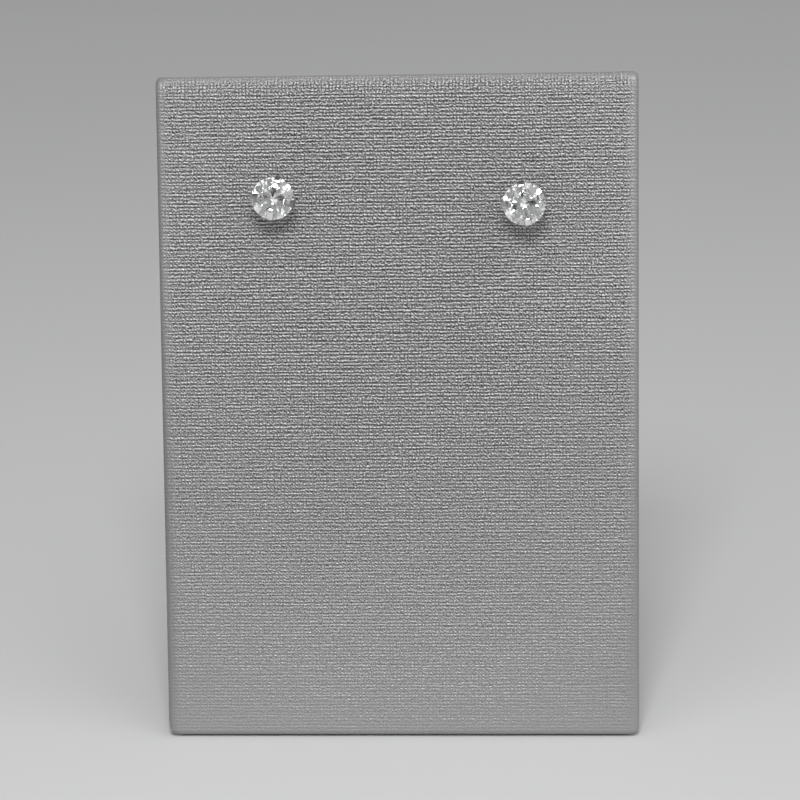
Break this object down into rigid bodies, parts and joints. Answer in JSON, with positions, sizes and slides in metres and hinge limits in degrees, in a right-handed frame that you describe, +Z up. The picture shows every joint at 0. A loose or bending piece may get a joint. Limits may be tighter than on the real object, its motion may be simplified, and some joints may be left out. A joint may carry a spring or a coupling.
{
  "type": "stud earrings on a display stand",
  "caption": "Round clear-stone stud earrings in claw settings, posted through a small upright L-shaped stand covered in linen-look paper, with curled press-on backs behind.",
  "frame": {"origin": "centre of the box's base, on the surface that the stand's foot rests on", "axes": "+Z up; -Y is the front, where the stones show; +X to the right as the stand is looked at from the front"},
  "size_m": [0.05, 0.0398, 0.0683],
  "materials": {
    "linen_paper": "pearl-grey paper embossed like linen, slight sheen",
    "clear_stone": "polished facets",
    "polished_silver": "mirror polish"
  },
  "bodies": {
    "root": {"display_stand": "linen_paper", "left_stone": "clear_stone", "left_setting": "polished_silver", "left_butterfly_back": "polished_silver", "right_stone": "clear_stone", "right_setting": "polished_silver", "right_butterfly_back": "polished_silver"}
  },
  "joints": []
}
